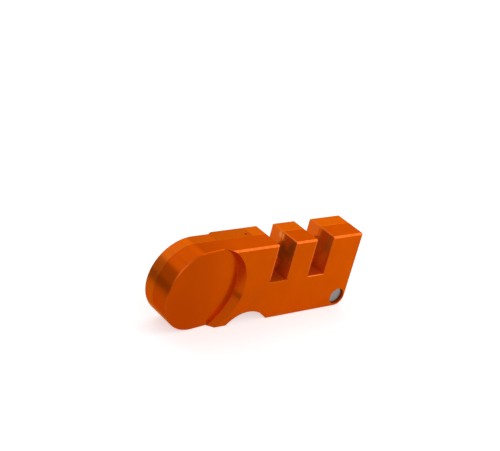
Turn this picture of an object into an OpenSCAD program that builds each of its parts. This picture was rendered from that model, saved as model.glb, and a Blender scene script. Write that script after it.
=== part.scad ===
// Pocket knife sharpener with two crossed-insert slots and a folding tapered rod.
// Millimetres. X runs along the body with the slots towards +X, Y runs from the front
// face to the back face, and Z is up. The origin is the centre of the resting edge.

/* [Body] */
// Length of the body, from the round grip end to the square end
body_length = 86; // [82:1:100]
// Height of the body, from the resting edge to the top edge
body_height = 31.2; // [30:0.2:36]
// Depth of the front half, from the front face to the parting line
front_depth = 8.5; // [8.2:0.1:10]
// Depth of the back half, from the back face to the parting line
back_depth = 6.5; // [6.2:0.1:8]
// Radius of the lower corner at the square end, which the pivot is concentric with
corner_radius = 4.2; // [4.1:0.1:5]
// Bevel along both top edges
top_bevel = 0.7; // [0.4:0.1:1]
// Bevel on the other outside edges and on the edges of the slots
edge_bevel = 0.3; // [0.2:0.05:0.4]
// Bevel on both halves where they meet
seam_bevel = 0.1; // [0.05:0.05:0.3]

/* [Thumb recess] */
// How far the recess floor reaches past the grip end's radius
recess_margin = 1.4; // [1:0.1:2.5]
// Depth of the recess on the front face
front_recess_depth = 2.4; // [1.6:0.1:2.6]
// Depth of the recess on the back face
back_recess_depth = 1.6; // [1:0.1:2]
// Width of the recess's slanted wall
recess_slope = 1.1; // [0.8:0.1:2]
// Tilt of the front recess's floor in degrees, which makes it shallower towards the grip end
front_recess_tilt = 5.5; // [0:0.5:6]

/* [Finger notch] */
// Radius of the notch in the resting edge
notch_radius = 12.4; // [10:0.2:16]
// Height of the notch above the resting edge
notch_rise = 4.2; // [3:0.1:5]
// Distance from the square end to the middle of the notch
notch_from_end = 47.2; // [44:0.2:50]

/* [Blade slots] */
// Width of each slot
slot_width = 8; // [7:0.2:9]
// Depth of each slot below the top edge
slot_depth = 15.6; // [14:0.2:16]
// Width of the tooth between the slots
tooth_width = 10.1; // [9.5:0.1:12]
// Width of the block at the square end
end_block_width = 14.6; // [13.5:0.1:18]

/* [Sharpening inserts] */
// Lean of each insert from upright
insert_lean = 22.5; // [18:0.5:25]
// Height of the crossing above the slot floor
cross_rise = 3; // [2.8:0.1:4]
// Depth of an insert's foot below the slot floor
insert_foot = 3.3; // [3:0.1:4]
// Distance from the top edge down to an insert's end
insert_top_gap = 5.4; // [4.5:0.1:6.5]
// Width of the coarse carbide bits
carbide_width = 3; // [2.5:0.1:3.2]
// Thickness of the coarse carbide bits
carbide_thickness = 1.5; // [1:0.1:2]
// Bevel on the long edges of the carbide bits
carbide_bevel = 0.15; // [0.1:0.05:0.2]
// Diameter of the fine ceramic rods
ceramic_diameter = 2.6; // [2.5:0.1:3.2]
// Bevel on the ends of the ceramic rods
ceramic_bevel = 0.3; // [0.2:0.05:0.5]

/* [Folding rod] */
// Distance from the pivot to the rod's tip
rod_reach = 50; // [46:1:52]
// Diameter of the rod at its base
rod_base_diameter = 4.6; // [4:0.1:5]
// Diameter of the rod at its tip
rod_tip_diameter = 2.6; // [2:0.1:3]
// Diameter of the tang inside the hub
tang_diameter = 3; // [2.6:0.1:3.4]
// Length of the tang
tang_length = 5; // [4.5:0.1:5.4]
// Diameter of the pin through the hub and the tang
cross_pin_diameter = 1.2; // [1:0.1:1.4]
// Distance from the arm's end to the cross pin
cross_pin_inset = 2.4; // [2:0.1:3]

/* [Hub] */
// How far the hub's round nose stays inside the body's corner
hub_inset = 0.3; // [0.2:0.05:0.4]
// Distance from the pivot to each flat of the hub
hub_flat = 3.2; // [3.1:0.05:3.4]
// Width of the hub
hub_width = 5; // [4.6:0.1:5.2]
// Distance from the pivot to the arm's end
arm_length = 9.8; // [9.6:0.1:11]
// Height of the arm
arm_height = 5.2; // [5:0.1:5.6]
// Bevel on the edges of the arm
arm_bevel = 0.35; // [0.2:0.05:0.5]

/* [Pivot] */
// Diameter of the pivot's disc on the front and of the screw's head on the back
pivot_head_diameter = 6.3; // [5.6:0.1:6.5]
// Thickness of both heads
pivot_head_thickness = 1.3; // [1:0.1:1.5]
// How deep both heads lie below the faces
pivot_head_sink = 0.9; // [0.5:0.1:1]
// Bevel on the rim of both heads
pivot_head_bevel = 0.15; // [0.1:0.05:0.3]
// Diameter of the sleeve's barrel
barrel_diameter = 3.6; // [3.4:0.1:3.8]
// Diameter of the pivot screw's shank
pivot_screw_diameter = 2.5; // [2:0.1:2.6]
// Wall of the bush in the hub
bush_wall = 0.6; // [0.5:0.05:0.7]
// Diameter of the washers
washer_diameter = 7.2; // [6.6:0.1:7.6]
// Thickness of the washers
washer_thickness = 0.4; // [0.3:0.05:0.5]

/* [Spring and magnet] */
// Length of the leaf spring over the hub
spring_span = 6; // [5.8:0.1:6.4]
// Height of the leaf spring's bow
spring_bow = 0.9; // [0.8:0.05:1.2]
// Thickness of the leaf spring
spring_thickness = 0.35; // [0.25:0.05:0.4]
// Width of the leaf spring
spring_width = 4.8; // [4:0.1:5.2]
// Diameter of the magnet over the rod
magnet_diameter = 3; // [2:0.1:4]
// Thickness of the magnet
magnet_thickness = 1.5; // [1:0.1:2]
// Distance from the rod's tip to the magnet
magnet_from_tip = 8; // [6:0.5:9]

/* [Screws and dowels] */
// Diameter of the case screws
case_screw_diameter = 2.5; // [2:0.1:3]
// Length of the case screws under the head
case_screw_length = 7; // [6:0.1:7.5]
// Diameter of the case screws' heads
case_head_diameter = 4.8; // [4:0.1:5]
// Height of the case screws' heads
case_head_height = 1.6; // [1.2:0.1:2]
// How deep the heads lie below the back face
case_head_sink = 0.3; // [0.2:0.1:0.6]
// Distance from the grip end to the case screw there
grip_screw_inset = 7; // [6:0.5:12]
// Distance from the first slot to the case screw beside it
slot_screw_inset = 8.8; // [7:0.2:12]
// Distance from the top edge to the upper case screws
upper_screw_drop = 7; // [6:0.2:9]
// Outer diameter of the threaded inserts
thread_insert_diameter = 4; // [3.6:0.1:4.4]
// Length of the threaded inserts
thread_insert_length = 4; // [3.5:0.1:4.4]
// Diameter of the dowel pins
dowel_diameter = 2; // [1.5:0.1:2.4]
// Length of the dowel pins
dowel_length = 6; // [4:0.2:7]
// Distance from the top edge to the dowel pins
dowel_drop = 6; // [5:0.2:8]
// Diameter of the grub screws that clamp the inserts
grub_diameter = 2.5; // [2:0.1:2.6]
// Length of the grub screws
grub_length = 3; // [2.5:0.1:3.3]

/* [Finger rest] */
// Depth of the relief in the top of the back half
rest_depth = 0.15; // [0.1:0.05:0.5]
// Length of the relief
rest_length = 16.5; // [10:0.5:20]
// Distance from the first slot to the relief
rest_from_slot = 6.4; // [4:0.2:10]
// Diameter of the small pit near the relief's end
pit_diameter = 1; // [0.6:0.1:1.4]
// Distance from the relief's right end to the pit
pit_from_end = 1.65; // [1:0.05:3]
// Distance from the parting line to the pit
pit_from_seam = 1.8; // [1:0.1:3]

/* [Clearances] */
// Radial gap of the turning fit between the sleeve and the bush
running_gap = 0.04; // [0.02:0.01:0.08]
// Radial gap of the fixed fits
fit_gap = 0.02; // [0.01:0.01:0.04]
// Gap beside the moving hub and its bush, and under its stops
side_gap = 0.05; // [0.03:0.01:0.1]
// Gap around the inserts in their pockets
pocket_gap = 0.05; // [0.02:0.01:0.1]
// Gap around the heads in their counterbores
head_gap = 0.15; // [0.1:0.05:0.3]
// Gap past the rod's tip
tip_gap = 1; // [0.8:0.1:2]
// Gap past the end of a tang or a screw in its blind hole
end_gap = 0.2; // [0.1:0.05:0.4]

/* [Hidden] */
$fn = 96;

// How far every cut runs past the surface that it opens
overrun = 1;
hex_sides = 6;

orange = [0.82, 0.33, 0.02];
orange_back = [0.86, 0.38, 0.06];
pivot_grey = [0.5, 0.48, 0.48];
steel = [0.68, 0.69, 0.7];
dark_steel = [0.3, 0.31, 0.33];
bronze = [0.72, 0.52, 0.28];
carbide_grey = [0.42, 0.42, 0.44];
ceramic_white = [0.9, 0.88, 0.82];
diamond_grey = [0.45, 0.46, 0.47];

// Faces and ends of the body
half_length = body_length / 2;
front_y = -(front_depth + back_depth) / 2;
back_y = -front_y;
part_y = front_y + front_depth;
grip_radius = body_height / 2;
grip_x = grip_radius - half_length;
recess_floor_radius = grip_radius + recess_margin;
recess_face_radius = recess_floor_radius + recess_slope;
rim_end_x = grip_x + sqrt(pow(recess_floor_radius, 2) - pow(grip_radius, 2));
recess_reach = grip_x + recess_face_radius - rim_end_x;

// Slots and the inserts in them
first_slot_x = half_length - end_block_width - slot_width - tooth_width - slot_width;
second_slot_x = half_length - end_block_width - slot_width;
slot_xs = [first_slot_x, second_slot_x];
slot_floor = body_height - slot_depth;
cross_z = slot_floor + cross_rise;
insert_low = -(cross_rise + insert_foot) / cos(insert_lean);
insert_high = (slot_depth - cross_rise - insert_top_gap) / cos(insert_lean);
ceramic_radius = ceramic_diameter / 2;
ceramic_offset = ceramic_radius + pocket_gap;
tooth_x = first_slot_x + slot_width + tooth_width / 2;

// Notch, pivot and rod
notch_x = half_length - notch_from_end;
notch_z = notch_rise - notch_radius;
pivot_x = half_length - corner_radius;
pivot_z = corner_radius;
hub_radius = corner_radius - hub_inset;
arm_end_x = pivot_x - arm_length;
rod_length = rod_reach - arm_length;
rod_tip_x = pivot_x - rod_reach;
channel_half = hub_width / 2 + washer_thickness + side_gap;
channel_top = pivot_z + arm_height / 2 + side_gap;
channel_end_x = rod_tip_x - tip_gap;
barrel_radius = barrel_diameter / 2;
bush_bore_radius = barrel_radius + running_gap;
bush_radius = bush_bore_radius + bush_wall;
bush_half = hub_width / 2 - side_gap;
pivot_head_radius = pivot_head_diameter / 2;
pivot_seat = pivot_head_sink + pivot_head_thickness;
screw_bore_radius = pivot_screw_diameter / 2 + fit_gap;
barrel_end_y = (channel_half + back_y - pivot_seat) / 2;

// Leaf spring: the lower face is an arc that rests on the hub's flat
spring_radius = (pow(spring_span / 2, 2) + pow(spring_bow, 2)) / (2 * spring_bow);
spring_half_angle = asin(spring_span / 2 / spring_radius);
spring_centre_z = pivot_z + hub_flat + fit_gap + spring_radius;
spring_top = spring_centre_z - (spring_radius - spring_thickness) * cos(spring_half_angle);
spring_roof = spring_top + fit_gap;
magnet_x = rod_tip_x + magnet_from_tip;

// Screws: each place is x, z and the depth of the face around it
case_screw_places = [
    [grip_screw_inset - half_length, body_height / 2, back_recess_depth],
    [first_slot_x - slot_screw_inset, body_height - upper_screw_drop, 0],
    [tooth_x, (channel_top + slot_floor) / 2, 0],
    [half_length - end_block_width / 2, body_height - upper_screw_drop, 0],
];
case_seat = case_head_sink + case_head_height;
case_seat_y = back_y - case_seat;
thread_insert_y = part_y - end_gap;
thread_insert_end_y = thread_insert_y - thread_insert_length;
dowel_places = [[grip_x, body_height - dowel_drop], [tooth_x, body_height - dowel_drop]];
grub_radius = grub_diameter / 2;
grub_z = slot_floor - edge_bevel - grub_radius;
grub_offset = (cross_z - grub_z) * tan(insert_lean);
rest_end_x = first_slot_x - rest_from_slot;
pit_y = part_y + pit_from_seam;

// A round bar or cone along Y, at x and z, from y0 to y1
module bar_y(x, z, y0, y1, r0, r1) {
    translate([x, y0, z])
        rotate([-90, 0, 0])
            cylinder(h = y1 - y0, r1 = r0, r2 = is_undef(r1) ? r0 : r1);
}

// The profile of a bevel: the edge is at the origin and the body lies towards u and v
module wedge(size, u, v) {
    reach = size + overrun;
    polygon([
        [u * reach, -v * overrun],
        [-u * overrun, v * reach],
        [-u * overrun, -v * overrun],
    ]);
}

// Bevels along straight edges; the last two numbers point from the edge into the body
module bevel_x(x0, x1, y, z, size, into_y, into_z) {
    translate([x0, y, z])
        rotate([90, 0, 90])
            linear_extrude(x1 - x0)
                wedge(size, into_y, into_z);
}

module bevel_y(y0, y1, x, z, size, into_x, into_z) {
    translate([x, y1, z])
        rotate([90, 0, 0])
            linear_extrude(y1 - y0)
                wedge(size, into_x, into_z);
}

module bevel_z(z0, z1, x, y, size, into_x, into_y) {
    translate([x, y, z0])
        linear_extrude(z1 - z0)
            wedge(size, into_x, into_y);
}

// The same bevel round an arc about a Y axis, from an angle through a turn
module bevel_arc(x, y, z, radius, size, from, turn, into_radius, into_y) {
    translate([x, y, z])
        rotate([90, 0, 0])
            rotate([0, 0, from])
                rotate_extrude(angle = turn)
                    translate([radius, 0])
                        wedge(size, into_radius, -into_y);
}

// The body's outline between two depths, with the slots and the notch left out
module body_slab(y0, y1) {
    depth = y1 - y0;
    difference() {
        union() {
            bar_y(grip_x, grip_radius, y0, y1, grip_radius);
            translate([grip_x, y0, 0])
                cube([pivot_x - grip_x, depth, body_height]);
            translate([pivot_x, y0, pivot_z])
                cube([corner_radius, depth, body_height - pivot_z]);
            bar_y(pivot_x, pivot_z, y0, y1, corner_radius);
        }
        bar_y(notch_x, notch_z, y0 - overrun, y1 + overrun, notch_radius);
        for (x = slot_xs)
            translate([x, y0 - overrun, slot_floor])
                cube([slot_width, depth + 2 * overrun, slot_depth + overrun]);
    }
}

// The bevels that follow the outline at one depth, from the grip end's centre onwards
module outline_bevels(y, into_y, top_size, size) {
    top = body_height + overrun;
    bevel_x(grip_x, half_length + overrun, y, body_height, top_size, into_y, -1);
    bevel_x(grip_x, pivot_x, y, 0, size, into_y, 1);
    bevel_arc(pivot_x, y, pivot_z, corner_radius, size, -90, 90, -1, into_y);
    bevel_z(pivot_z, top, half_length, y, size, -1, into_y);
    bevel_arc(notch_x, y, notch_z, notch_radius, size, 0, 360, 1, into_y);
    for (x = slot_xs) {
        bevel_z(slot_floor, top, x, y, size, -1, into_y);
        bevel_z(slot_floor, top, x + slot_width, y, size, 1, into_y);
        bevel_x(x, x + slot_width, y, slot_floor, size, into_y, -1);
    }
}

// The bevel round the grip end at the floor of the recess
module rim_bevels(y, into_y) {
    bevel_x(grip_x, rim_end_x, y, body_height, edge_bevel, into_y, -1);
    bevel_x(grip_x, rim_end_x, y, 0, edge_bevel, into_y, 1);
    bevel_arc(grip_x, y, grip_radius, grip_radius, edge_bevel, 90, 180, -1, into_y);
}

// The bevels on the edges that run from the front to the back
module cross_bevels() {
    y0 = front_y - overrun;
    y1 = back_y + overrun;
    for (x = slot_xs) {
        bevel_y(y0, y1, x, body_height, edge_bevel, -1, -1);
        bevel_y(y0, y1, x + slot_width, body_height, edge_bevel, 1, -1);
    }
    bevel_y(y0, y1, half_length, body_height, edge_bevel, -1, -1);
}

function recess_depth(side) = side < 0 ? front_recess_depth : back_recess_depth;
function recess_tilt(side) = side < 0 ? front_recess_tilt : 0;

// Puts its children on the floor of a recess, which turns about the right end of the rim
module on_recess_floor(side) {
    translate([rim_end_x, side * (back_y - recess_depth(side)), 0])
        rotate([0, 0, -side * recess_tilt(side)])
            translate([-rim_end_x, 0, 0])
                children();
}

// The thumb recess in one face: a cone down to the floor; side is -1 for the front and 1
// for the back
module recess(side) {
    depth = recess_depth(side);
    lean = recess_slope / depth;
    reach = overrun + depth + recess_reach * tan(recess_tilt(side));
    intersection() {
        translate([grip_x, side * (back_y + overrun), grip_radius])
            rotate([side * 90, 0, 0])
                cylinder(
                    h = overrun + reach,
                    r1 = recess_face_radius + overrun * lean,
                    r2 = recess_face_radius - reach * lean
                );
        on_recess_floor(side)
            translate([rim_end_x, side * body_height / 2, grip_radius])
                cube([2 * body_length, body_height, 2 * body_height], center = true);
    }
}

// The open channel for the rod and the pocket for the spring over the hub
module rod_channel() {
    pocket_half = spring_span / 2 + 2 * side_gap;
    translate([channel_end_x, -channel_half, -overrun])
        cube([half_length + overrun - channel_end_x, 2 * channel_half, channel_top + overrun]);
    translate([pivot_x - pocket_half, -channel_half, pivot_z])
        cube([2 * pocket_half, 2 * channel_half, spring_roof - pivot_z]);
    translate([magnet_x, 0, pivot_z])
        cylinder(h = channel_top + magnet_thickness - pivot_z, d = magnet_diameter + 2 * fit_gap);
    for (side = [-1, 1])
        bevel_x(channel_end_x, pivot_x, side * channel_half, 0, edge_bevel, side, 1);
}

// Moves its children to an insert's own axis; lean is positive towards +X
module at_insert(slot_x, lean) {
    translate([slot_x + slot_width / 2, part_y, cross_z])
        rotate([0, lean, 0])
            children();
}

// The pocket of a flat bit; side is -1 in the front half and 1 in the back half
module carbide_pocket(side) {
    low = insert_low - pocket_gap;
    width = carbide_width + 2 * pocket_gap;
    y0 = side < 0 ? -carbide_thickness : -overrun;
    at_insert(first_slot_x, side * insert_lean)
        translate([-width / 2, y0, low])
            cube([width, carbide_thickness + overrun, insert_high + pocket_gap - low]);
}

// The pocket of a round rod: a round bottom with straight walls up to the parting line
module ceramic_pocket(side) {
    low = insert_low - pocket_gap;
    length = insert_high + pocket_gap - low;
    radius = ceramic_radius + pocket_gap;
    y0 = side < 0 ? -ceramic_offset : -overrun;
    at_insert(second_slot_x, side * insert_lean) {
        translate([0, side * ceramic_offset, low])
            cylinder(h = length, r = radius);
        translate([-radius, y0, low])
            cube([2 * radius, ceramic_offset + overrun, length]);
    }
}

// What the two halves have in common; side is -1 for the front half and 1 for the back
module shell_cuts(side) {
    outline_bevels(side * back_y, -side, top_bevel, edge_bevel);
    on_recess_floor(side)
        rim_bevels(0, -side);
    recess(side);
    outline_bevels(part_y, side, seam_bevel, seam_bevel);
    bevel_arc(grip_x, part_y, grip_radius, grip_radius, seam_bevel, 90, 180, -1, side);
    cross_bevels();
    rod_channel();
    for (place = dowel_places)
        bar_y(place[0], place[1], part_y - dowel_length / 2, part_y + dowel_length / 2,
            dowel_diameter / 2 + fit_gap);
    bar_y(pivot_x, pivot_z, front_y - overrun, front_y + pivot_seat,
        pivot_head_radius + head_gap);
    bar_y(pivot_x, pivot_z, front_y, barrel_end_y, barrel_radius + fit_gap);
}

module front_shell() {
    color(orange)
        difference() {
            body_slab(front_y, part_y);
            shell_cuts(-1);
            carbide_pocket(-1);
            ceramic_pocket(-1);
            for (place = case_screw_places)
                bar_y(place[0], place[1], case_bore_end_y(place[2]), part_y + overrun,
                    thread_insert_diameter / 2 + fit_gap);
        }
}

// Where a threaded insert's bore ends, for a screw whose head is lowered by a depth
function case_bore_end_y(lowered) =
    min(thread_insert_end_y, case_seat_y - lowered - case_screw_length - end_gap);

// The holes of one case screw in the back half
module case_screw_hole(place) {
    bar_y(place[0], place[1], part_y - overrun, back_y, case_screw_diameter / 2 + head_gap);
    bar_y(place[0], place[1], case_seat_y - place[2], back_y + overrun,
        case_head_diameter / 2 + head_gap);
}

// The threaded holes of the grub screws under one slot
module grub_holes(slot_x, thickness) {
    middle = slot_x + slot_width / 2;
    bar_y(middle - grub_offset, grub_z, part_y + thickness, back_y + overrun,
        grub_radius + fit_gap);
    bar_y(middle + grub_offset, grub_z, part_y - overrun, back_y + overrun,
        grub_radius + fit_gap);
}

module finger_rest() {
    translate([rest_end_x - rest_length, part_y + seam_bevel, body_height - rest_depth])
        cube([rest_length, back_depth + overrun, rest_depth + overrun]);
    translate([rest_end_x - pit_from_end, pit_y, body_height - rest_depth - pit_diameter])
        cylinder(h = pit_diameter + overrun, d = pit_diameter);
}

module back_shell() {
    color(orange_back)
        difference() {
            body_slab(part_y, back_y);
            shell_cuts(1);
            carbide_pocket(1);
            ceramic_pocket(1);
            for (place = case_screw_places)
                case_screw_hole(place);
            grub_holes(first_slot_x, carbide_thickness);
            grub_holes(second_slot_x, ceramic_offset);
            finger_rest();
            bar_y(pivot_x, pivot_z, part_y, back_y, screw_bore_radius);
            bar_y(pivot_x, pivot_z, back_y - pivot_seat, back_y + overrun,
                pivot_head_radius + head_gap);
        }
}

// One flat bit with bevelled long edges; side is -1 in the front half, 1 in the back half
module carbide_bit(side) {
    half = carbide_width / 2;
    thick = side * carbide_thickness;
    bevel = side * carbide_bevel;
    color(carbide_grey)
        at_insert(first_slot_x, side * insert_lean)
            translate([0, 0, insert_low])
                linear_extrude(insert_high - insert_low)
                    polygon([
                        [-half, bevel],
                        [carbide_bevel - half, 0],
                        [half - carbide_bevel, 0],
                        [half, bevel],
                        [half, thick - bevel],
                        [half - carbide_bevel, thick],
                        [carbide_bevel - half, thick],
                        [-half, thick - bevel],
                    ]);
}

module carbide_bit_front() {
    carbide_bit(-1);
}

module carbide_bit_back() {
    carbide_bit(1);
}

// One round rod with bevelled ends
module ceramic_rod(side) {
    tip_radius = ceramic_radius - ceramic_bevel;
    length = insert_high - insert_low;
    color(ceramic_white)
        at_insert(second_slot_x, side * insert_lean)
            translate([0, side * ceramic_offset, insert_low])
                rotate_extrude()
                    polygon([
                        [0, 0],
                        [tip_radius, 0],
                        [ceramic_radius, ceramic_bevel],
                        [ceramic_radius, length - ceramic_bevel],
                        [tip_radius, length],
                        [0, length],
                    ]);
}

module ceramic_rod_front() {
    ceramic_rod(-1);
}

module ceramic_rod_back() {
    ceramic_rod(1);
}

// A grub screw from its tip at y towards the back, with a hexagon socket
module grub_screw(x, y) {
    socket_radius = grub_radius / 2;
    difference() {
        bar_y(x, grub_z, y, y + grub_length, grub_radius);
        translate([x, y + grub_length / 2, grub_z])
            rotate([-90, 0, 0])
                cylinder(h = grub_length, r = socket_radius, $fn = hex_sides);
    }
}

module insert_set_screws() {
    color(dark_steel) {
        for (pair = [[first_slot_x, carbide_thickness, 0],
                     [second_slot_x, ceramic_offset + ceramic_radius, pocket_gap]]) {
            middle = pair[0] + slot_width / 2;
            grub_screw(middle - grub_offset, part_y + pair[1]);
            grub_screw(middle + grub_offset, part_y - pair[2]);
        }
    }
}

// A cap screw with a hexagon socket; the head's seat is at y and the shank runs to the front
module cap_screw(x, z, y, head_radius, head_height, bevel, radius, length) {
    difference() {
        union() {
            bar_y(x, z, y, y + head_height - bevel, head_radius);
            bar_y(x, z, y + head_height - bevel, y + head_height, head_radius, head_radius - bevel);
            bar_y(x, z, y - length + bevel, y, radius);
            bar_y(x, z, y - length, y - length + bevel, radius - bevel, radius);
        }
        translate([x, y + head_height / 2, z])
            rotate([-90, 0, 0])
                cylinder(h = head_height, r = head_radius / 2, $fn = hex_sides);
    }
}

module case_screws() {
    color(dark_steel)
        for (place = case_screw_places)
            cap_screw(place[0], place[1], case_seat_y - place[2], case_head_diameter / 2,
                case_head_height, pivot_head_bevel, case_screw_diameter / 2, case_screw_length);
}

module thread_inserts() {
    color(bronze)
        for (place = case_screw_places)
            difference() {
                bar_y(place[0], place[1], thread_insert_end_y, thread_insert_y,
                    thread_insert_diameter / 2);
                bar_y(place[0], place[1], thread_insert_end_y - overrun, part_y,
                    case_screw_diameter / 2 + fit_gap);
            }
}

module dowel_pins() {
    color(steel)
        for (place = dowel_places)
            bar_y(place[0], place[1], part_y - dowel_length / 2, part_y + dowel_length / 2,
                dowel_diameter / 2);
}

// The disc that shows on the front, with a threaded barrel that the hub turns on
module pivot_sleeve() {
    head_front = front_y + pivot_head_sink;
    color(pivot_grey)
        difference() {
            union() {
                bar_y(pivot_x, pivot_z, head_front, head_front + pivot_head_bevel,
                    pivot_head_radius - pivot_head_bevel, pivot_head_radius);
                bar_y(pivot_x, pivot_z, head_front + pivot_head_bevel, front_y + pivot_seat,
                    pivot_head_radius);
                bar_y(pivot_x, pivot_z, front_y + pivot_seat, barrel_end_y, barrel_radius);
            }
            bar_y(pivot_x, pivot_z, front_y + pivot_seat, barrel_end_y + overrun,
                screw_bore_radius);
        }
}

module pivot_screw() {
    seat_y = back_y - pivot_seat;
    color(pivot_grey)
        cap_screw(pivot_x, pivot_z, seat_y, pivot_head_radius, pivot_head_thickness,
            pivot_head_bevel, pivot_screw_diameter / 2,
            seat_y - front_y - pivot_seat - end_gap);
}

// A plain ring along Y about the pivot
module pivot_ring(y0, y1, outer, inner) {
    difference() {
        bar_y(pivot_x, pivot_z, y0, y1, outer);
        bar_y(pivot_x, pivot_z, y0 - overrun, y1 + overrun, inner);
    }
}

module pivot_bush() {
    color(bronze)
        pivot_ring(-bush_half, bush_half, bush_radius, bush_bore_radius);
}

module pivot_washer_front() {
    color(bronze)
        pivot_ring(-hub_width / 2 - washer_thickness, -hub_width / 2, washer_diameter / 2,
            bush_bore_radius);
}

module pivot_washer_back() {
    color(bronze)
        pivot_ring(hub_width / 2, hub_width / 2 + washer_thickness, washer_diameter / 2,
            bush_bore_radius);
}

// The hub: a round nose with two flats for the spring, and an arm with the rod's socket
module rod_hub() {
    half = hub_width / 2;
    arm_half = arm_height / 2;
    color(steel)
        difference() {
            union() {
                intersection() {
                    bar_y(pivot_x, pivot_z, -half, half, hub_radius);
                    translate([pivot_x - hub_radius, -half, pivot_z - hub_flat])
                        cube([2 * hub_radius, hub_width, 2 * hub_flat]);
                }
                translate([arm_end_x, -half, pivot_z - arm_half])
                    cube([arm_length - bush_radius, hub_width, arm_height]);
            }
            for (side = [-1, 1]) {
                for (rise = [-1, 1])
                    bevel_x(arm_end_x - overrun, pivot_x - hub_radius, side * half,
                        pivot_z + rise * arm_half, arm_bevel, -side, -rise);
                bevel_z(0, body_height, arm_end_x, side * half, arm_bevel, 1, -side);
                bevel_y(-hub_width, hub_width, arm_end_x, pivot_z + side * arm_half, arm_bevel,
                    1, -side);
            }
            bar_y(pivot_x, pivot_z, -hub_width, hub_width, bush_radius + fit_gap);
            translate([arm_end_x - overrun, 0, pivot_z])
                rotate([0, 90, 0])
                    cylinder(h = tang_length + end_gap + overrun, d = tang_diameter + 2 * fit_gap);
            cross_pin_hole();
        }
}

module cross_pin_hole() {
    translate([arm_end_x + cross_pin_inset, 0, 0])
        cylinder(h = body_height, d = cross_pin_diameter + 2 * fit_gap);
}

// The tapered rod with a round tip and a tang that the cross pin holds
module diamond_rod() {
    base_radius = rod_base_diameter / 2;
    tip_radius = rod_tip_diameter / 2;
    tang_radius = tang_diameter / 2;
    color(diamond_grey)
        difference() {
            translate([arm_end_x, 0, pivot_z])
                rotate([0, -90, 0]) {
                    rotate_extrude()
                        polygon([
                            [0, -tang_length],
                            [tang_radius, -tang_length],
                            [tang_radius, 0],
                            [base_radius - arm_bevel, 0],
                            [base_radius, arm_bevel],
                            [tip_radius, rod_length - tip_radius],
                            [0, rod_length - tip_radius],
                        ]);
                    translate([0, 0, rod_length - tip_radius])
                        sphere(r = tip_radius);
                }
            cross_pin_hole();
        }
}

module rod_cross_pin() {
    color(dark_steel)
        translate([arm_end_x + cross_pin_inset, 0, pivot_z - arm_height / 2])
            cylinder(h = arm_height, d = cross_pin_diameter);
}

// The bowed leaf spring between the hub's flat and the roof of its pocket
module detent_spring() {
    color(steel)
        translate([pivot_x, 0, spring_centre_z])
            rotate([90, 0, 0])
                rotate([0, 0, -90 - spring_half_angle])
                    rotate_extrude(angle = 2 * spring_half_angle)
                        translate([spring_radius - spring_thickness, -spring_width / 2])
                            square([spring_thickness, spring_width]);
}

module rod_magnet() {
    color(steel)
        translate([magnet_x, 0, channel_top])
            cylinder(h = magnet_thickness, d = magnet_diameter);
}

front_shell();
back_shell();
carbide_bit_front();
carbide_bit_back();
ceramic_rod_front();
ceramic_rod_back();
insert_set_screws();
case_screws();
thread_inserts();
dowel_pins();
pivot_sleeve();
pivot_screw();
pivot_bush();
pivot_washer_front();
pivot_washer_back();
rod_hub();
diamond_rod();
rod_cross_pin();
detent_spring();
rod_magnet();
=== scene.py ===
import math

import bpy
from mathutils import Matrix, Vector


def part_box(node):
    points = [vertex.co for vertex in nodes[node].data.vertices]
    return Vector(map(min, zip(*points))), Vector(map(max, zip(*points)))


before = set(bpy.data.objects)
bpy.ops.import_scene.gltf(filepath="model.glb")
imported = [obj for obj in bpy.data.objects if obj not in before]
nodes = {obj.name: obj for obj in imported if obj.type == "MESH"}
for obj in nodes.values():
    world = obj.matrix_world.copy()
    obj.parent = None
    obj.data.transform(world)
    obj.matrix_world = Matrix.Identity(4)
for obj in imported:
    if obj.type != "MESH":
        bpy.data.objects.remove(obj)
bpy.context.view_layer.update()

MM = 0.001
PER_METRE = 1000
X, Y, Z = 0, 1, 2

# Places on the body along one axis, in millimetres: axis, middle, how far from the middle the
# place is full, and how far from it the place ends.
BOTH_SLOTS = (X, 15.35, 13.2, 13.7)
FIRST_SLOT = (X, 6.3, 3.9, 4.4)
SLOT_FLOORS = (Z, 15.6, 0.3, 0.6)
FLOOR_LIPS = (Z, 15.6, 0.6, 0.9)
LEFT_EDGES = ((X, 1.8, 0.12, 0.3), (X, 19.9, 0.12, 0.3))
RUB_AND_HIGHLIGHT_HEIGHT = (Z, 24.5, 5.5, 8.5)
PAINTED_HIGHLIGHT_SPOT = ((X, 10.3, 0.5, 0.7), (Y, 1.4, 0.9, 1.7), (Z, 29.5, 0.6, 1.6))
PAINTED_WALL_SHADE = ((Y, -3.4, 2.6, 4.2), (Z, 27.6, 2.8, 5.6))
RELIEF_FLOOR = (Z, 31.05, 0.05, 0.12)
RELIEF_STEP = ((X, -4.1, 0.3, 0.4), (Z, 31.1, 0.2, 0.4))

# Leanings of a face's normal: axis, whether both ways along it count, the lean where a mask is 0,
# and the lean where it is 1.
UP = (Z, False, 0.90, 0.95)
SIDEWAYS = (X, True, 0.85, 0.95)
LEFTWARD = (X, False, -0.85, -0.95)
STEP_FACE = (X, False, -0.80, -0.90)
FRONT = (Y, False, -0.90, -0.97)
RIM_BEVEL = ((Y, True, 0.60, 0.66), (Y, True, 0.92, 0.82))
SLOT_LIP = ((X, True, 0.45, 0.60), (X, True, 0.90, 0.80), (Z, False, 0.30, 0.60))
FLOOR_BEVEL = ((Y, True, 0.30, 0.50), (Y, True, 0.95, 0.85))

NOISE_SPAN = (0.3, 0.7)       # where nearly all of a noise's values lie
MIX_SOCKETS = {"FLOAT": (2, 3, 0), "RGBA": (6, 7, 2)}   # of a Mix node: first, second, result


def times(colour, k):
    """A colour times one number, or times one number for each of its channels, at most 1."""
    factors = k if isinstance(k, tuple) else (k,) * len(colour)
    return [min(1, c * f) for c, f in zip(colour, factors)]


# ---------------------------------------------------------------- node helpers

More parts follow.
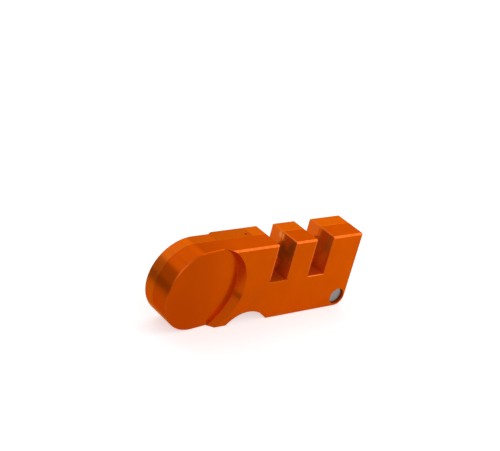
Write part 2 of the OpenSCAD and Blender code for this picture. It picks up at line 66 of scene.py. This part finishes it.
class Nodes:
    """Short calls for building one node tree."""

    def __init__(self, tree):
        self.tree = tree
        tree.nodes.clear()

    def node(self, kind, **values):
        n = self.tree.nodes.new(kind)
        for k, v in values.items():
            setattr(n, k, v)
        return n

    def link(self, a, b):
        self.tree.links.new(a, b)

    def feed(self, socket, value):
        """Gives a socket a number, a vector, a colour, or what another socket says."""
        if isinstance(value, (int, float, Vector)):
            socket.default_value = value
        elif isinstance(value, (tuple, list)):
            socket.default_value = (*value, 1)
        else:
            self.link(value, socket)

    def split(self, vector):
        """X, Y and Z of a vector."""
        sep = self.node("ShaderNodeSeparateXYZ")
        self.link(vector, sep.inputs[0])
        return sep.outputs

    def axes(self, output):
        """X, Y and Z of a Texture Coordinate output, such as Object or Normal."""
        return self.split(self.node("ShaderNodeTexCoord").outputs[output])

    def math(self, op, *values):
        n = self.node("ShaderNodeMath", operation=op)
        for socket, v in zip(n.inputs, values):
            self.feed(socket, v)
        return n.outputs[0]

    def product(self, value, *factors):
        for factor in factors:
            value = self.math("MULTIPLY", value, factor)
        return value

    def dot(self, a, b):
        n = self.node("ShaderNodeVectorMath", operation="DOT_PRODUCT")
        for socket, v in zip(n.inputs, (a, b)):
            self.feed(socket, v)
        return n.outputs["Value"]

    def ramp(self, value, lo, hi, out_lo, out_hi, smooth=False):
        """out_lo where value is lo or beyond, out_hi where it is hi or beyond, a slope between."""
        n = self.node("ShaderNodeMapRange", clamp=True,
                      interpolation_type="SMOOTHSTEP" if smooth else "LINEAR")
        for socket, v in (("Value", value), ("From Min", lo), ("From Max", hi),
                          ("To Min", out_lo), ("To Max", out_hi)):
            self.feed(n.inputs[socket], v)
        return n.outputs["Result"]

    def between(self, fac, a, b, kind="FLOAT"):
        """From a to b: a number, or a colour where the kind is RGBA."""
        n = self.node("ShaderNodeMix", data_type=kind)
        first, second, result = MIX_SOCKETS[kind]
        for i, v in ((0, fac), (first, a), (second, b)):
            self.feed(n.inputs[i], v)
        return n.outputs[result]

    def mix(self, fac, a, b):
        """A colour from a to b."""
        return self.between(fac, a, b, kind="RGBA")

    def shader(self, kind, *values):
        """A shader node with its inputs given in order."""
        n = self.node(kind)
        for socket, v in zip(n.inputs, values):
            self.feed(socket, v)
        return n.outputs[0]


class Tree(Nodes):
    """One material of the object, with the masks that its scuffing, tones, painted light and
    painted shade follow.
    """

    def __init__(self, name):
        self.mat = bpy.data.materials.new(name)
        self.mat.use_nodes = True
        super().__init__(self.mat.node_tree)
        out = self.node("ShaderNodeOutputMaterial")
        self.bsdf = self.node("ShaderNodeBsdfPrincipled")
        self.link(self.bsdf.outputs[0], out.inputs[0])

    def set(self, **values):
        names = {"color": "Base Color", "metal": "Metallic", "rough": "Roughness", "ior": "IOR",
                 "spec": "Specular IOR Level", "tint": "Specular Tint"}
        for k, v in values.items():
            self.feed(self.bsdf.inputs[names[k]], v)

    def bump(self, height, strength, distance, radius=None):
        """Bump over edges that are rounded; distance and radius are in millimetres."""
        b = self.node("ShaderNodeBump")
        b.inputs["Strength"].default_value = strength
        b.inputs["Distance"].default_value = distance * MM
        self.link(height, b.inputs["Height"])
        if radius:
            self.link(self.rounded(radius), b.inputs["Normal"])
        self.link(b.outputs[0], self.bsdf.inputs["Normal"])

    def rounded(self, radius):
        """The normal with edges rounded by a radius in millimetres."""
        bevel = self.node("ShaderNodeBevel", samples=6)
        bevel.inputs["Radius"].default_value = radius * MM
        return bevel.outputs[0]

    def coords(self, scale=(1, 1, 1), centre=(0, 0, 0)):
        """Object coordinates in millimetres, stretched by scale, about a centre in metres."""
        m = self.node("ShaderNodeMapping")
        m.inputs["Scale"].default_value = [PER_METRE * s for s in scale]
        m.inputs["Location"].default_value = [-PER_METRE * c for c in centre]
        self.link(self.node("ShaderNodeTexCoord").outputs["Object"], m.inputs["Vector"])
        return m.outputs[0]

    def noise(self, scale, detail=2.0, rough=0.5, stretch=(1, 1, 1)):
        """Noise over the object, with scale in waves per millimetre."""
        n = self.node("ShaderNodeTexNoise")
        for socket, v in (("Scale", scale), ("Detail", detail), ("Roughness", rough)):
            n.inputs[socket].default_value = v
        self.link(self.coords(scale=stretch), n.inputs["Vector"])
        return n.outputs["Fac"]

    def vary(self, noise, least, most):
        """A noise spread over a range of numbers."""
        return self.ramp(noise, *NOISE_SPAN, least, most)

    def tones(self, noise, base, dark, light):
        """A noise spread from the base colour times dark to the base colour times light."""
        return self.mix(self.vary(noise, 0.0, 1.0), times(base, dark), times(base, light))

    def over(self, col, tone, mask, share=1.0):
        """A colour with a share of another laid over it, where a mask says."""
        return self.mix(self.product(mask, share), col, tone)

    def edge(self, radius):
        """1 on scuffed convex and concave edges, 0 on flat areas."""
        flat_lean, edge_lean = 0.02, 0.35
        normal = self.node("ShaderNodeNewGeometry").outputs["Normal"]
        lean = self.math("SUBTRACT", 1.0, self.dot(self.rounded(radius), normal))
        return self.ramp(lean, flat_lean, edge_lean, 0.0, 1.0, smooth=True)

    def open_to_light(self, reach):
        """1 in the open, down to 0 deep in slots and corners, where shade is painted; reach is in
        millimetres.
        """
        closed, clear = 0.2, 0.7
        ao = self.node("ShaderNodeAmbientOcclusion", samples=8)
        ao.inputs["Distance"].default_value = reach * MM
        return self.ramp(ao.outputs["AO"], closed, clear, 0.0, 1.0)

    def near(self, *places):
        """1 where all the places overlap, 0 outside any of them."""
        masks = []
        for axis, middle, full, end in places:
            off = self.math("SUBTRACT", self.axes("Object")[axis], middle * MM)
            masks.append(self.ramp(self.math("ABSOLUTE", off), full * MM, end * MM, 1.0, 0.0))
        return self.product(*masks)

    def facing(self, *leanings):
        """1 on faces whose normal has all the leanings, 0 on the others."""
        masks = []
        for axis, both_ways, none, full in leanings:
            lean = self.axes("Normal")[axis]
            if both_ways:
                lean = self.math("ABSOLUTE", lean)
            masks.append(self.ramp(lean, none, full, 0.0, 1.0))
        return self.product(*masks)

    def milled(self):
        """1 on the side walls and floors of the two slots, 0 elsewhere."""
        floor = self.product(self.facing(UP), self.near(SLOT_FLOORS))
        surface = self.math("MAXIMUM", self.facing(SIDEWAYS), floor)
        return self.product(surface, self.near(BOTH_SLOTS))

    def ridge_wear_and_highlights(self):
        """Small bevels that get scuffed and a painted highlight: the faces' outlines and the slots'
        upper edges.
        """
        up, across = self.axes("Normal")[Z], self.axes("Object")[Y]
        # The rims' painted highlight is strongest on bevels that face up, weaker on those facing
        # down, and faint on the first slot's floor lips
        rim_off_middle, rim_upward = (6.0 * MM, 6.4 * MM), (0.3, 0.65)
        lower_rim, floor_lip_rim = 0.2, 0.1
        rim = self.product(self.facing(*RIM_BEVEL),
                           self.ramp(self.math("ABSOLUTE", across), *rim_off_middle, 0.0, 1.0),
                           self.ramp(up, *rim_upward, lower_rim, 1.0),
                           self.ramp(self.first_floor_lip(), 0.0, 1.0, 1.0, floor_lip_rim))
        front_to_back, back_lip = (0.8 * MM, 1.4 * MM), 0.3
        lip = self.product(self.facing(*SLOT_LIP), self.near(BOTH_SLOTS),
                           self.ramp(across, *front_to_back, 1.0, back_lip))
        return self.math("MAXIMUM", rim, lip)

    def first_floor_lip(self):
        """1 on the small bevels at both ends of the first slot's floor, 0 elsewhere."""
        return self.product(self.near(FLOOR_LIPS, FIRST_SLOT), self.facing(*FLOOR_BEVEL))

    def blade_rub_and_highlight(self):
        """1 on the left edges of the slots, where the blades rub and a highlight line is painted, 0
        elsewhere.
        """
        lines = self.math("ADD", *[self.near(edge) for edge in LEFT_EDGES])
        return self.product(lines, self.facing(FRONT), self.near(RUB_AND_HIGHLIGHT_HEIGHT))

    def painted_highlight_spot(self):
        """1 on a painted highlight at the top of the first slot's right wall, 0 elsewhere."""
        return self.product(self.milled(), self.near(*PAINTED_HIGHLIGHT_SPOT))

    def painted_wall_shade(self):
        """1 on the upper front part of the slots' right walls, where shade is painted, 0 elsewhere.
        """
        return self.product(self.milled(), self.facing(LEFTWARD), self.near(*PAINTED_WALL_SHADE))

    def relief_floor(self):
        """1 on the floor of the shallow relief on top, 0 elsewhere."""
        return self.product(self.facing(UP), self.near(RELIEF_FLOOR))

    def relief_step(self):
        """1 on the low step at the relief's right end, where a painted highlight lightens it, 0
        elsewhere.
        """
        return self.product(self.facing(STEP_FACE), self.near(*RELIEF_STEP))


# ---------------------------------------------------------------- materials

def anodised(name, base, wear_and_highlight, slot):
    """Bead-blasted and anodised aluminium: fine blast grain, faint cloudiness, scuffed edges,
    painted light and painted shade.

    The first three arguments are the colours of the body, of its scuffed edges and painted
    highlights, and of the milled slots.
    """
    # Each tone that is laid over the one before it, and its share
    deep, bright = times(base, 0.93), times(base, (1.17, 1.24, 1.1))
    grip_painted_shade_tone, grip_painted_shade_share = times(base, (0.76, 0.62, 0.7)), 0.55
    painted_wall_shade_tone, painted_wall_shade_share = times(slot, (0.45, 0.7, 0.9)), 0.62
    relief_tone, relief_share = times(base, 0.72), 0.5
    painted_cavity_shade = times(base, 0.9)
    lip_painted_shade, lip_painted_shade_share = times(base, 0.5), 0.6
    highlight_tone, highlight_share = (1.0, 0.29, 0.06), 0.95
    edge_wear, blade_rub_and_highlight_share, step_painted_highlight, wear_and_highlight_share = 0.5, 1.3, 1.8, 0.40
    # Where the painted light (lighter towards the right end) and the grip's painted shade change
    # along the body, and how much clouds and that painted light count
    painted_light_span, grip_painted_shade_span = (-30 * MM, 43 * MM), (-34 * MM, -12 * MM)
    cloud_share, painted_light_share = 0.45, 0.55
    patch_span, least_patch = (0.40, 0.60), 0.45
    body_metal, milled_metal, milled_rough = 0.62, 0.44, 0.8

    t = Tree(name)
    cloud = t.noise(scale=0.11, detail=3.0, rough=0.55)
    along = t.axes("Object")[X]
    milled = t.milled()

    patch = t.ramp(t.noise(scale=0.5, detail=3.0, rough=0.6), *patch_span, least_patch, 1.0)
    wear_and_highlight_mask = t.math("MAXIMUM", t.product(t.edge(radius=0.5), edge_wear), t.ridge_wear_and_highlights())
    wear_and_highlight_mask = t.math("MAXIMUM", t.product(wear_and_highlight_mask, patch), t.product(t.blade_rub_and_highlight(), blade_rub_and_highlight_share))
    # Painted highlight that lightens the relief's step
    wear_and_highlight_mask = t.math("MAXIMUM", wear_and_highlight_mask, t.product(t.relief_step(), step_painted_highlight))

    # Cloud tones, plus painted light that grows lighter towards the right end
    shade = t.math("ADD", t.vary(cloud, 0.0, cloud_share),
                   t.product(t.ramp(along, *painted_light_span, 0.0, 1.0), painted_light_share))
    col = t.mix(shade, deep, bright)
    # Painted shade over the grip end, fading out towards the middle of the body
    col = t.over(col, grip_painted_shade_tone, t.ramp(along, *grip_painted_shade_span, 1.0, 0.0, smooth=True), grip_painted_shade_share)
    col = t.over(col, slot, milled)
    # Painted shade on the upper front part of the slots' right walls
    col = t.over(col, painted_wall_shade_tone, t.painted_wall_shade(), painted_wall_shade_share)
    col = t.over(col, relief_tone, t.relief_floor(), relief_share)
    # Painted shade deep in slots and corners
    col = t.mix(t.open_to_light(reach=2.5), painted_cavity_shade, col)
    # Scuffing and painted highlights on edges, rims and slot lips
    col = t.over(col, wear_and_highlight, wear_and_highlight_mask, wear_and_highlight_share)
    # Painted shade on the bevels at both ends of the first slot's floor
    col = t.over(col, lip_painted_shade, t.first_floor_lip(), lip_painted_shade_share)
    # Painted highlight on a small spot at the top of the first slot's right wall
    col = t.over(col, highlight_tone, t.painted_highlight_spot(), highlight_share)

    rough = t.product(t.vary(cloud, 0.17, 0.23), t.ramp(milled, 0.0, 1.0, 1.0, milled_rough))
    t.set(color=col, metal=t.ramp(milled, 0.0, 1.0, body_metal, milled_metal), rough=rough,
          spec=0.0, tint=(1.0, 0.5, 0.16))
    t.bump(t.noise(scale=3.4, rough=0.6), strength=0.10, distance=0.05, radius=0.12)
    return t.mat


def turned(name, base, centre):
    """Metal with fine turning rings about the Y axis through centre."""
    ring_radians_per_mm = 24.0
    t = Tree(name)
    place = t.split(t.coords(centre=centre))
    squares = t.math("ADD", t.math("POWER", place[X], 2.0), t.math("POWER", place[Z], 2.0))
    rings = t.math("SINE", t.product(t.math("SQRT", squares), ring_radians_per_mm))
    cloud = t.noise(scale=0.9, detail=3.0)
    col = t.tones(cloud, base, dark=0.88, light=1.1)
    col = t.over(col, times(base, 1.5), t.edge(radius=0.2), share=0.5)
    t.set(color=col, metal=1.0, rough=t.vary(cloud, least=0.25, most=0.38))
    t.bump(rings, strength=0.07, distance=0.02, radius=0.06)
    return t.mat


def machined(name, base, rough, lines_bump, stretch):
    """Metal with fine tool lines along one axis."""
    smoother, rougher = 0.06, 0.08
    t = Tree(name)
    lines = t.noise(scale=2.2, detail=3.0, rough=0.65, stretch=stretch)
    cloud = t.noise(scale=0.5, detail=3.0)
    col = t.tones(lines, base, dark=0.85, light=1.08)
    col = t.over(col, times(base, 1.45), t.edge(radius=0.2), share=0.5)
    t.set(color=col, metal=1.0, rough=t.vary(cloud, rough - smoother, rough + rougher))
    t.bump(lines, strength=lines_bump, distance=0.03, radius=0.08)
    return t.mat


def oxide(name, base):
    """Blackened steel: dull, with rubbed edges."""
    bare_steel = (0.32, 0.31, 0.30)
    t = Tree(name)
    cloud = t.noise(scale=1.4, detail=4.0, rough=0.6)
    col = t.tones(cloud, base, dark=0.8, light=1.25)
    col = t.over(col, bare_steel, t.edge(radius=0.18), share=0.7)
    t.set(color=col, metal=0.9, rough=t.vary(cloud, least=0.34, most=0.5))
    t.bump(t.noise(scale=7.0), strength=0.2, distance=0.02, radius=0.08)
    return t.mat


def grit(name, base):
    """Diamond grit bonded on steel: dense tiny grains, each with a painted glint at its middle."""
    grains_per_mm, painted_glint_size, grain_height = 6.5, 0.16, -0.7
    painted_glint_tone = (0.8, 0.81, 0.82)
    t = Tree(name)
    grains = t.node("ShaderNodeTexVoronoi")
    grains.inputs["Scale"].default_value = grains_per_mm
    t.link(t.coords(), grains.inputs["Vector"])
    from_grain = grains.outputs["Distance"]
    fine = t.noise(scale=9.0, detail=3.0, rough=0.7)
    cloud = t.noise(scale=0.35, detail=3.0, stretch=(0.4, 1, 1))
    col = t.tones(cloud, base, dark=0.75, light=1.15)
    # Painted glint at the middle of each grain
    col = t.over(col, painted_glint_tone, t.ramp(from_grain, 0.0, painted_glint_size, 1.0, 0.0), share=0.6)
    t.set(color=col, metal=0.85, rough=t.vary(fine, least=0.35, most=0.6))
    height = t.math("ADD", t.product(from_grain, grain_height), fine)
    t.bump(height, strength=0.7, distance=0.06)
    return t.mat


def ceramic(name, base):
    """Fired white ceramic with grey streaks of steel left by blades."""
    steel_grey, streak_span = (0.36, 0.36, 0.37), (0.52, 0.68)
    t = Tree(name)
    fine = t.noise(scale=8.0, detail=3.0, rough=0.6)
    streaks = t.noise(scale=0.9, detail=3.0, rough=0.7, stretch=(3.0, 0.25, 3.0))
    col = t.tones(fine, base, dark=0.95, light=1.0)
    col = t.over(col, steel_grey, t.ramp(streaks, *streak_span, 0.0, 1.0), share=0.45)
    t.set(color=col, metal=0.0, rough=t.vary(fine, least=0.42, most=0.56), ior=1.6)
    t.bump(fine, strength=0.15, distance=0.02, radius=0.08)
    return t.mat


def carbide(name, base):
    """Ground tungsten carbide: grey, with grinding lines across the bit."""
    bright_edge = (0.62, 0.62, 0.63)
    t = Tree(name)
    lines = t.noise(scale=1.6, detail=3.0, rough=0.7, stretch=(0.3, 3.0, 5.0))
    cloud = t.noise(scale=0.6, detail=3.0)
    col = t.tones(lines, base, dark=0.75, light=1.15)
    col = t.over(col, bright_edge, t.edge(radius=0.15), share=0.6)
    t.set(color=col, metal=0.9, rough=t.vary(cloud, least=0.28, most=0.42))
    t.bump(lines, strength=0.25, distance=0.03, radius=0.06)
    return t.mat


def pivot_centre():
    """Middle of the pivot, about which its discs are turned."""
    lo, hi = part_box("pivot_sleeve")
    return (lo.x + hi.x) / 2, 0.0, (lo.z + hi.z) / 2


LOOKS = (
    (anodised("front_anodised_fine", base=(0.58, 0.080, 0.0014), wear_and_highlight=(0.88, 0.21, 0.05),
              slot=(0.78, 0.13, 0.008)),
     ("front_shell",)),
    # The back shell's colours are lighter copies of the front shell's: painted light on the same
    # anodised aluminium
    (anodised("back_anodised_fine", base=(0.67, 0.118, 0.006), wear_and_highlight=(0.90, 0.25, 0.06),
              slot=(0.86, 0.15, 0.012)),
     ("back_shell",)),
    (turned("pivot_steel_turned", (0.24, 0.235, 0.235), pivot_centre()),
     ("pivot_sleeve", "pivot_screw")),
    (machined("bright_steel_machined", (0.40, 0.405, 0.415), rough=0.3, lines_bump=0.3,
              stretch=(0.15, 3.0, 3.0)),
     ("dowel_pins", "rod_hub", "detent_spring", "rod_magnet")),
    (oxide("black_steel_oxide", (0.045, 0.046, 0.05)),
     ("insert_set_screws", "case_screws", "rod_cross_pin")),
    (machined("bronze_machined", (0.56, 0.33, 0.13), rough=0.32, lines_bump=0.18,
              stretch=(3.0, 0.2, 3.0)),
     ("thread_inserts", "pivot_bush", "pivot_washer_front", "pivot_washer_back")),
    (carbide("carbide_ground", (0.2, 0.2, 0.205)),
     ("carbide_bit_front", "carbide_bit_back")),
    (ceramic("ceramic_fired", (0.84, 0.81, 0.74)),
     ("ceramic_rod_front", "ceramic_rod_back")),
    (grit("diamond_grit", (0.22, 0.225, 0.23)),
     ("diamond_rod",)),
)
for mat, names in LOOKS:
    for name in names:
        for s in nodes[name].material_slots:
            s.material = mat


# ---------------------------------------------------------------- stage

def floor_material():
    """Pale floor; in reflections it is white near the object and falls off to the left."""
    pale_grey, dim_grey, glow = (0.86,) * 3, (0.45,) * 3, 0.56
    fade_start, fade_end = -0.050, -0.100
    mat = bpy.data.materials.new("floor_pale")
    mat.use_nodes = True
    n = Nodes(mat.node_tree)
    path = n.node("ShaderNodeLightPath")
    reflected = path.outputs["Is Glossy Ray"]
    seen = n.math("MAXIMUM", path.outputs["Is Camera Ray"], reflected)
    emission = n.shader("ShaderNodeEmission", (1, 1, 1), n.product(seen, glow))
    pale = n.shader("ShaderNodeAddShader", n.shader("ShaderNodeBsdfDiffuse", pale_grey), emission)
    left = n.ramp(n.axes("Object")[X], fade_start, fade_end, 0.0, 1.0, smooth=True)
    top = n.shader("ShaderNodeMixShader", n.product(left, reflected), pale,
                   n.shader("ShaderNodeBsdfDiffuse", dim_grey))
    from_below = n.node("ShaderNodeNewGeometry").outputs["Backfacing"]
    out = n.node("ShaderNodeOutputMaterial")
    n.link(n.shader("ShaderNodeMixShader", from_below, top, n.shader("ShaderNodeBsdfTransparent")),
           out.inputs[0])
    return mat


def floor(half_width, z):
    """The pale floor that the object rests on."""
    mesh = bpy.data.meshes.new("floor")
    corners = [(x * half_width, y * half_width, z) for x, y in ((-1, -1), (1, -1), (1, 1), (-1, 1))]
    mesh.from_pydata(corners, [], [(0, 1, 2, 3)])
    mesh.materials.append(floor_material())
    o = bpy.data.objects.new("floor", mesh)
    bpy.context.scene.collection.objects.link(o)


def studio():
    """White surroundings; in reflections they are darker at the back left, as by a hand."""
    dark_way = Vector((-0.76, 0.64, -0.02)).normalized()
    dark_rim, dark_core = 0.80, 0.98
    mirrored, mirrored_dark, ambient, background = 0.90, 0.58, 0.42, 1.0
    world = bpy.data.worlds.new("studio")
    bpy.context.scene.world = world
    world.use_nodes = True
    n = Nodes(world.node_tree)
    path = n.node("ShaderNodeLightPath")
    way = n.node("ShaderNodeTexCoord").outputs["Generated"]
    side = n.ramp(n.dot(way, dark_way), dark_rim, dark_core, mirrored, mirrored_dark, smooth=True)
    light = n.between(path.outputs["Is Glossy Ray"], ambient, side)
    light = n.between(path.outputs["Is Camera Ray"], light, background)
    out = n.node("ShaderNodeOutputWorld")
    n.link(n.shader("ShaderNodeBackground", (1, 1, 1), light), out.inputs[0])


def softbox(name, azimuth, elevation, distance, size, radiance):
    """A soft lamp round the object, with lengths in metres and angles in degrees.

    Azimuth 0 is in front, 90 on the right and 180 behind.
    """
    middle = Vector((0.005, 0.0, 0.016))
    a, e = math.radians(azimuth), math.radians(elevation)
    way = Vector((math.sin(a) * math.cos(e), -math.cos(a) * math.cos(e), math.sin(e)))
    data = bpy.data.lights.new(name, "AREA")
    data.shape = "RECTANGLE"
    data.size, data.size_y = size
    data.energy = radiance * math.pi * data.size * data.size_y
    o = bpy.data.objects.new(name, data)
    o.location = middle + way * distance
    o.rotation_mode = "QUATERNION"
    o.rotation_quaternion = (-way).to_track_quat("-Z", "Y")
    bpy.context.scene.collection.objects.link(o)


floor(half_width=2.0, z=-0.05 * MM)
studio()
softbox("key_soft", 56, 42, distance=0.8, size=(0.48, 0.36), radiance=1.4)
softbox("top_soft", 168, 60, distance=0.8, size=(0.8, 0.55), radiance=0.75)
softbox("back_right_soft", 124, 24, distance=0.5, size=(0.4, 0.2), radiance=0.28)
softbox("back_top_soft", 153, 43, distance=0.6, size=(0.2, 0.16), radiance=0.3)
softbox("back_left_soft", -147, 35, distance=0.6, size=(0.34, 0.16), radiance=0.75)
softbox("front_fill", -10, 22, distance=1.1, size=(0.8, 0.6), radiance=1.0)


# ---------------------------------------------------------------- camera

def photo_camera():
    """The camera fitted to the photograph: angles in radians, place in units of the depth."""
    yaw, pitch, roll = 0.76125, 0.44141, -0.25926
    aside, above, ahead, unit = -0.05047, -2.04258, 30.0, 15.0
    fit_origin = Vector((2.3, 0, 0))
    focal_px, photo_width_px, sensor_width = 1222.56, 500, 36
    level = math.cos(pitch)
    fwd = Vector((math.sin(yaw) * level, math.cos(yaw) * level, -math.sin(pitch)))
    flat_right = Vector((math.cos(yaw), -math.sin(yaw), 0.0))
    flat_up = flat_right.cross(fwd)
    right = math.cos(roll) * flat_right - math.sin(roll) * flat_up
    up = math.sin(roll) * flat_right + math.cos(roll) * flat_up
    place = fit_origin - (aside * right + above * up + ahead * fwd) * unit
    data = bpy.data.cameras.new("photo_camera")
    data.sensor_width = sensor_width
    data.lens = focal_px / photo_width_px * sensor_width
    data.clip_start, data.clip_end = 0.01, 20
    o = bpy.data.objects.new("photo_camera", data)
    basis = Matrix((right, up, -fwd)).transposed()
    o.matrix_world = Matrix.Translation(place * MM) @ basis.to_4x4()
    bpy.context.scene.collection.objects.link(o)
    bpy.context.scene.camera = o


photo_camera()
bpy.context.scene.view_settings.view_transform = "Standard"
